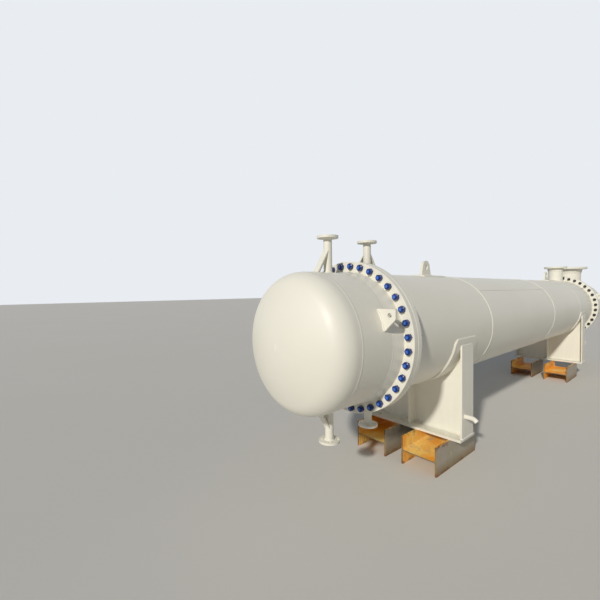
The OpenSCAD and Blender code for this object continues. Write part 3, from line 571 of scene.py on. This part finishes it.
# Saddles. Each is a transverse web with end ribs and middle ribs on a base plate, under a wear
# plate that is fillet welded to the shell all round.
for end in ("front", "rear"):
    dress(vessel_paint, f"{end}_wear_plate", f"{end}_saddle_web", f"{end}_saddle_ribs",
          f"{end}_base_plate")
dress(vessel_paint, "earthing_bosses")
wear_half_length, wear_corner, wear_thickness = 0.200, 0.050, 0.012
web_half, rib_half_length, saddle_leg = 0.007, 0.105, 0.008
wear_radius = shell_radius + wear_thickness
boss_radius, boss_leg, boss_turns = 0.019, 0.005, 20
arc_steps, corner_steps = 180, 12
boss_low, boss_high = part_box("earthing_bosses")


def under_shell(x, angle, radius):
    """A point below the axis: (x, r sin a, -r cos a), with the angle a from straight down."""
    x, angle = np.broadcast_arrays(np.asarray(x, float), np.asarray(angle, float))
    return np.stack([x, radius * np.sin(angle), axis_height - radius * np.cos(angle)], -1)


for end in ("front", "rear"):
    wear_low, wear_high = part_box(f"{end}_wear_plate")
    rib_low, rib_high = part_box(f"{end}_saddle_ribs")
    web_low, web_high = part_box(f"{end}_saddle_web")
    x = (wear_low.x + wear_high.x) / 2
    top_drop = axis_height - wear_high.z
    # The wear plate's edge: down one end, a round corner, the level upper edge, and so on.
    edge_angle = math.acos((top_drop + wear_corner) / shell_radius)
    under = np.linspace(-edge_angle, edge_angle, arc_steps)
    bend = np.linspace(0, math.pi / 2, corner_steps)
    bend_x = wear_half_length - wear_corner + wear_corner * np.cos(bend)
    bend_angle = np.arccos((top_drop + wear_corner * (1 - np.sin(bend))) / shell_radius)
    loop = np.concatenate([
        under_shell(x - wear_half_length, under, shell_radius),
        under_shell(x - bend_x, bend_angle, shell_radius),
        under_shell(x + bend_x[::-1], bend_angle[::-1], shell_radius),
        under_shell(x + wear_half_length, under[::-1], shell_radius),
        under_shell(x + bend_x, -bend_angle, shell_radius),
        under_shell(x - bend_x[::-1], -bend_angle[::-1], shell_radius)])
    path = even_path(loop, True)
    runs = [(path, from_axis(path), saddle_leg, saddle_leg, True)]
    # Web and ribs against the wear plate.
    web_angle = math.asin(web_high.y / wear_radius)
    for face_x in (x - web_half, x + web_half):
        top_edge = np.linspace(-web_angle, web_angle, arc_steps)
        path = even_path(under_shell(face_x, top_edge, wear_radius))
        runs.append((path, from_axis(path), saddle_leg, saddle_leg, False))
    floor_z = web_low.z
    rib_top = rib_high.z
    rib_y = math.sqrt(wear_radius ** 2 - (axis_height - rib_top) ** 2)
    lines = []
    for side in (-1, 1):
        lines += [((x - rib_half_length, side * rib_y, rib_top),
                   (x + rib_half_length, side * rib_y, rib_top)),
                  ((x - rib_half_length, side * rib_high.y, floor_z),
                   (x + rib_half_length, side * rib_high.y, floor_z)),
                  ((x - rib_half_length, side * rib_high.y, floor_z),
                   (x - rib_half_length, side * web_high.y, floor_z)),
                  ((x + rib_half_length, side * rib_high.y, floor_z),
                   (x + rib_half_length, side * web_high.y, floor_z)),
                  ((x + side * web_half, web_low.y, floor_z),
                   (x + side * web_half, web_high.y, floor_z)),
                  ((x + side * web_half, -web_half, floor_z),
                   (x + side * rib_half_length, -web_half, floor_z)),
                  ((x + side * web_half, web_half, floor_z),
                   (x + side * rib_half_length, web_half, floor_z))]
    for start, stop in lines:
        runs.append((even_path([start, stop]), (0, 0, 1), saddle_leg, saddle_leg, False))
    rib_bottom = axis_height - wear_radius
    for side in (-1, 1):
        for face_y in (-web_half, web_half):
            runs.append((even_path([(x + side * web_half, face_y, floor_z),
                                    (x + side * web_half, face_y, rib_bottom)]),
                         (side, np.sign(face_y), 0), saddle_leg, saddle_leg, False))
            runs.append((even_path([(x + side * web_half, face_y, rib_bottom),
                                    (x + side * rib_half_length, face_y, rib_bottom)]),
                         (0, np.sign(face_y), -1), saddle_leg, saddle_leg, False))
            edge_y = np.sign(face_y) * web_high.y
            edge_top = axis_height - math.sqrt(wear_radius ** 2 - web_high.y ** 2)
            runs.append((even_path([(x + side * web_half, edge_y, floor_z),
                                    (x + side * web_half, edge_y, edge_top)]),
                         (side, -np.sign(face_y), 0), saddle_leg, saddle_leg, False))
    # The round earthing boss on one end rib.
    boss_x = boss_low.x + boss_radius if end == "front" else boss_high.x - boss_radius
    boss_z = boss_high.z - boss_radius
    face_y = rib_low.y if end == "front" else rib_high.y
    t = np.linspace(0, math.tau, boss_turns, endpoint=False)
    path = np.stack([boss_x + boss_radius * np.cos(t), face_y + 0 * t,
                     boss_z + boss_radius * np.sin(t)], -1)
    out = np.stack([np.cos(t), np.sign(face_y) + 0 * t, np.sin(t)], -1)
    runs.append((path, out, boss_leg, boss_leg, True))
    weld(f"{end}_saddle_welds", runs)

# Support beams. Hot rolled H sections laid on their sides, two under each saddle, with an ochre
# primer that has gone pale and rusty outside from lying in the open.
beam_middle_y, beam_half_depth, flange_half_width = 0.2375, 0.1575, 0.1175


def yard_primer():
    """Ochre alkyd primer on mill-scaled steel. The eye gets a warm, chalky, half-matt ochre in the
    pockets, faded to yellow in broad patches, a weathered grey-olive skin on the upright outer
    faces, brown rust along the flange edges and cut ends, and fine runs."""
    material, tree, shader = new_material("weathered ochre primer")
    texture = add_node(tree, "ShaderNodeTexCoord")
    where = texture.outputs["Object"]
    scuff_size, fade_size, rust_size, grain_size = 0.22, 0.25, 0.060, 0.004
    run_gap, run_len, grain_depth = 0.018, 0.25, 0.001
    edge_band, mud_height, face_inside, face_outside = 0.070, 0.10, 0.011, 0.004
    scuffs = add_node(tree, "ShaderNodeTexNoise",
                      {"Scale": 1 / scuff_size, "Detail": 7.0, "Roughness": 0.6},
                      {"Vector": where})
    rusting = add_node(tree, "ShaderNodeTexNoise",
                       {"Scale": 1 / rust_size, "Detail": 9.0, "Roughness": 0.7},
                       {"Vector": where})
    drawn = add_node(tree, "ShaderNodeMapping",
                     {"Scale": (1 / run_gap, 1 / run_gap, 1 / run_len)}, {"Vector": where})
    runs = add_node(tree, "ShaderNodeTexNoise", {"Scale": 1.0, "Detail": 4.0},
                    {"Vector": drawn.outputs["Vector"]})
    grain = add_node(tree, "ShaderNodeTexNoise", {"Scale": 1 / grain_size, "Detail": 3.0},
                     {"Vector": where})
    facing = add_node(tree, "ShaderNodeSeparateXYZ", links={"Vector": texture.outputs["Normal"]})
    outward = add_node(tree, "ShaderNodeMath", links={0: facing.outputs["Y"]},
                       operation="ABSOLUTE")
    cut_end = add_node(tree, "ShaderNodeMath", links={0: facing.outputs["X"]},
                       operation="ABSOLUTE")
    place = add_node(tree, "ShaderNodeSeparateXYZ", links={"Vector": where})
    # Height from the flange's middle, so that both edges of a flange are equally far from it.
    from_middle = add_node(tree, "ShaderNodeMath", {1: flange_half_width},
                           {0: place.outputs["Z"]}, operation="SUBTRACT")
    from_middle = add_node(tree, "ShaderNodeMath", links={0: from_middle.outputs[0]},
                           operation="ABSOLUTE")
    near_edge = add_node(tree, "ShaderNodeMapRange",
                         {"From Min": edge_band, "From Max": flange_half_width,
                          "To Min": 0.0, "To Max": 0.16},
                         {"Value": from_middle.outputs[0]})
    # Only the outer face of each flange has lost its primer: the distance from the beam's own
    # middle plane tells it from the inner face, one flange thickness nearer.
    from_web = add_node(tree, "ShaderNodeMath", links={0: place.outputs["Y"]}, operation="ABSOLUTE")
    from_web = add_node(tree, "ShaderNodeMath", {1: beam_middle_y}, {0: from_web.outputs[0]},
                        operation="SUBTRACT")
    from_web = add_node(tree, "ShaderNodeMath", links={0: from_web.outputs[0]}, operation="ABSOLUTE")
    outer_face = add_node(tree, "ShaderNodeMapRange",
                          {"From Min": beam_half_depth - face_inside,
                           "From Max": beam_half_depth - face_outside,
                           "To Min": 0.0, "To Max": 0.42}, {"Value": from_web.outputs[0]})
    weathered = add_node(tree, "ShaderNodeMath", links={0: outward.outputs[0],
                                                        1: outer_face.outputs["Result"]},
                         operation="MULTIPLY")
    weathered = add_node(tree, "ShaderNodeMath", links={0: weathered.outputs[0],
                                                        1: scuffs.outputs["Fac"]},
                         operation="ADD")
    weathered = add_node(tree, "ShaderNodeMapRange",
                         {"From Min": 0.60, "From Max": 0.74, "To Min": 0.0, "To Max": 0.92},
                         {"Value": weathered.outputs[0]})
    # The primer has gone pale and yellow in broad patches, with deeper runs over them.
    fading = add_node(tree, "ShaderNodeTexNoise", {"Scale": 1 / fade_size, "Detail": 1.0},
                      {"Vector": where})
    faded = add_node(tree, "ShaderNodeMapRange", {"From Min": 0.42, "From Max": 0.66},
                     {"Value": fading.outputs["Fac"]})
    primer = add_node(tree, "ShaderNodeMix",
                      {FIRST_COLOUR: linear("#fba81c"), SECOND_COLOUR: linear("#ffdc80")},
                      {SHARE: faded.outputs["Result"]}, data_type="RGBA")
    run_share = add_node(tree, "ShaderNodeMapRange",
                         {"From Min": 0.40, "From Max": 0.70, "To Min": 0.0, "To Max": 0.4},
                         {"Value": runs.outputs["Fac"]})
    primer = add_node(tree, "ShaderNodeMix", {SECOND_COLOUR: linear("#e0962a")},
                      {SHARE: run_share.outputs["Result"], FIRST_COLOUR: primer.outputs[MIXED]},
                      data_type="RGBA")
    skin = add_node(tree, "ShaderNodeMix",
                    {FIRST_COLOUR: linear("#928d80"), SECOND_COLOUR: linear("#b2aea4")},
                    {SHARE: scuffs.outputs["Fac"]}, data_type="RGBA")
    # Mud and rust water have browned the lowest third of the upright faces.
    lowness = add_node(tree, "ShaderNodeMapRange",
                       {"From Min": 0.0, "From Max": mud_height, "To Min": 0.85, "To Max": 0.0},
                       {"Value": place.outputs["Z"]})
    skin = add_node(tree, "ShaderNodeMix", {SECOND_COLOUR: linear("#6f5527")},
                    {SHARE: lowness.outputs["Result"], FIRST_COLOUR: skin.outputs[MIXED]},
                    data_type="RGBA")
    chalky = add_node(tree, "ShaderNodeMix",
                      links={SHARE: weathered.outputs["Result"],
                             FIRST_COLOUR: primer.outputs[MIXED],
                             SECOND_COLOUR: skin.outputs[MIXED]}, data_type="RGBA")
    chalky = add_node(tree, "ShaderNodeMix", {SECOND_COLOUR: linear("#8d7852")},
                      {SHARE: cut_end.outputs[0], FIRST_COLOUR: chalky.outputs[MIXED]},
                      data_type="RGBA")
    rust_here = add_node(tree, "ShaderNodeMath", links={0: rusting.outputs["Fac"],
                                                        1: near_edge.outputs["Result"]},
                         operation="ADD")
    end_rust = add_node(tree, "ShaderNodeMath", {1: 0.12}, {0: cut_end.outputs[0]},
                        operation="MULTIPLY")
    rust_here = add_node(tree, "ShaderNodeMath", links={0: rust_here.outputs[0],
                                                        1: end_rust.outputs[0]},
                         operation="ADD")
    rusted = add_node(tree, "ShaderNodeMapRange",
                      {"From Min": 0.60, "From Max": 0.74, "To Min": 0.0, "To Max": 0.80},
                      {"Value": rust_here.outputs[0]})
    rust = add_node(tree, "ShaderNodeMix",
                    {FIRST_COLOUR: linear("#5a3219"), SECOND_COLOUR: linear("#8a5426")},
                    {SHARE: grain.outputs["Fac"]}, data_type="RGBA")
    colour = add_node(tree, "ShaderNodeMix",
                      links={SHARE: rusted.outputs["Result"],
                             FIRST_COLOUR: chalky.outputs[MIXED],
                             SECOND_COLOUR: rust.outputs[MIXED]}, data_type="RGBA")
    roughness = add_node(tree, "ShaderNodeMapRange", {"To Min": 0.55, "To Max": 0.85},
                         {"Value": rusted.outputs["Result"]})
    bump = add_node(tree, "ShaderNodeBump", {"Strength": 0.3, "Distance": grain_depth},
                    {"Height": grain.outputs["Fac"]})
    tree.links.new(colour.outputs[MIXED], shader.inputs["Base Color"])
    tree.links.new(roughness.outputs["Result"], shader.inputs["Roughness"])
    tree.links.new(bump.outputs["Normal"], shader.inputs["Normal"])
    return material


dress(yard_primer(), "front_beams", "rear_beams")

# Tube bundle. Drawn steel tubes through two tubesheets and seven cross baffles, with a plate that
# parts the two passes. It is bare mill-finish steel, seen only down the open nozzles.


def mill_steel():
    """Drawn carbon steel with thin mill scale: dark, half matt, streaked along the tubes."""
    material, tree, shader = new_material("mill-finish carbon steel")
    where = add_node(tree, "ShaderNodeTexCoord").outputs["Object"]
    streak_len, streak_gap = 0.25, 0.006
    drawn = add_node(tree, "ShaderNodeMapping",
                     {"Scale": (1 / streak_len, 1 / streak_gap, 1 / streak_gap)},
                     {"Vector": where})
    streaks = add_node(tree, "ShaderNodeTexNoise", {"Scale": 1.0, "Detail": 4.0},
                       {"Vector": drawn.outputs["Vector"]})
    tone = add_node(tree, "ShaderNodeMix",
                    {FIRST_COLOUR: linear("#55524e"), SECOND_COLOUR: linear("#86817a")},
                    {SHARE: streaks.outputs["Fac"]}, data_type="RGBA")
    rough = add_node(tree, "ShaderNodeMapRange", {"To Min": 0.38, "To Max": 0.6},
                     {"Value": streaks.outputs["Fac"]})
    shader.inputs["Metallic"].default_value = 0.8
    tree.links.new(tone.outputs[MIXED], shader.inputs["Base Color"])
    tree.links.new(rough.outputs["Result"], shader.inputs["Roughness"])
    return material


dress(mill_steel(), "tube_bundle", "cross_baffles", "lengthwise_baffle", "far_pass_plate")

# Studio. A plain pale floor and an even pale world light the vessel, with one soft lamp from the
# side and height of the day's sun.
floor_size = 120.0
floor_mesh = bpy.data.meshes.new("studio_floor")
half_floor = floor_size / 2
floor_mesh.from_pydata([(-half_floor, -half_floor, 0), (half_floor, -half_floor, 0),
                        (half_floor, half_floor, 0), (-half_floor, half_floor, 0)], [], [(0, 1, 2, 3)])
floor = bpy.data.objects.new("studio_floor", floor_mesh)
bpy.context.scene.collection.objects.link(floor)


def pale_floor():
    """Matt pale floor paint: one even grey with a very faint cloudiness."""
    material, tree, shader = new_material("matt pale floor")
    where = add_node(tree, "ShaderNodeTexCoord").outputs["Object"]
    cloud_size = 2.5
    clouds = add_node(tree, "ShaderNodeTexNoise", {"Scale": 1 / cloud_size, "Detail": 2.0},
                      {"Vector": where})
    tone = add_node(tree, "ShaderNodeMix",
                    {FIRST_COLOUR: linear("#dfdcd5"), SECOND_COLOUR: linear("#dad7cf")},
                    {SHARE: clouds.outputs["Fac"]}, data_type="RGBA")
    shader.inputs["Roughness"].default_value = 0.9
    tree.links.new(tone.outputs[MIXED], shader.inputs["Base Color"])
    return material


floor_mesh.materials.append(pale_floor())
floor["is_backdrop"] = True

world = bpy.data.worlds.new("pale studio")
world.use_nodes = True
bpy.context.scene.world = world
world.node_tree.nodes.clear()
sky_light = add_node(world.node_tree, "ShaderNodeBackground",
                     {"Color": linear("#dae5f8"), "Strength": 0.21})
shown_sky = add_node(world.node_tree, "ShaderNodeBackground",
                     {"Color": linear("#e9edf2"), "Strength": 1.0})
ray = add_node(world.node_tree, "ShaderNodeLightPath")
seen = add_node(world.node_tree, "ShaderNodeMath",
                links={0: ray.outputs["Is Camera Ray"], 1: ray.outputs["Is Glossy Ray"]},
                operation="MAXIMUM")
both = add_node(world.node_tree, "ShaderNodeMixShader", links={0: seen.outputs[0]})
world.node_tree.links.new(sky_light.outputs[0], both.inputs[1])
world.node_tree.links.new(shown_sky.outputs[0], both.inputs[2])
add_node(world.node_tree, "ShaderNodeOutputWorld", links={"Surface": both.outputs[0]})

# The lamp comes from the near end, well above and a little towards the camera's side.
lamp_data = bpy.data.lights.new("soft key", "SUN")
lamp_data.energy, lamp_data.angle = 2.6, math.radians(3)
lamp_data.color = (1.0, 0.965, 0.90)
lamp = bpy.data.objects.new("soft key", lamp_data)
bpy.context.scene.collection.objects.link(lamp)
shine = np.array([0.842, 0.283, -0.459])
level = math.hypot(shine[0], shine[1])
lamp.rotation_euler = (math.atan2(level, -shine[2]), 0.0, math.atan2(shine[1], shine[0]) - math.pi / 2)

# Camera. It has the photograph's viewpoint: beyond the near head, at eye height.
view_from = (-5.2385, -1.729, 1.479)
view_yaw, view_pitch, view_roll = math.radians(48.977), math.radians(-1.530), math.radians(-0.621)
focal_pixels, frame_pixels, sensor = 347.63, 600.0, 36.0
camera_data = bpy.data.cameras.new("photograph view")
camera_data.sensor_width = sensor
camera_data.lens = sensor * focal_pixels / frame_pixels
camera_data.clip_end = 500.0
camera = bpy.data.objects.new("photograph view", camera_data)
bpy.context.scene.collection.objects.link(camera)
bpy.context.scene.camera = camera
ahead = np.array([math.cos(view_yaw) * math.cos(view_pitch),
                  math.sin(view_yaw) * math.cos(view_pitch), math.sin(view_pitch)])
level_right = np.array([math.sin(view_yaw), -math.cos(view_yaw), 0.0])
level_up = np.cross(level_right, ahead)
right = math.cos(view_roll) * level_right + math.sin(view_roll) * level_up
up = -math.sin(view_roll) * level_right + math.cos(view_roll) * level_up
turned = np.eye(4)
turned[:3, 0], turned[:3, 1], turned[:3, 2], turned[:3, 3] = right, up, -ahead, view_from
camera.matrix_world = Matrix(turned.tolist())

bpy.context.scene.view_settings.view_transform = "Standard"
low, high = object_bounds()
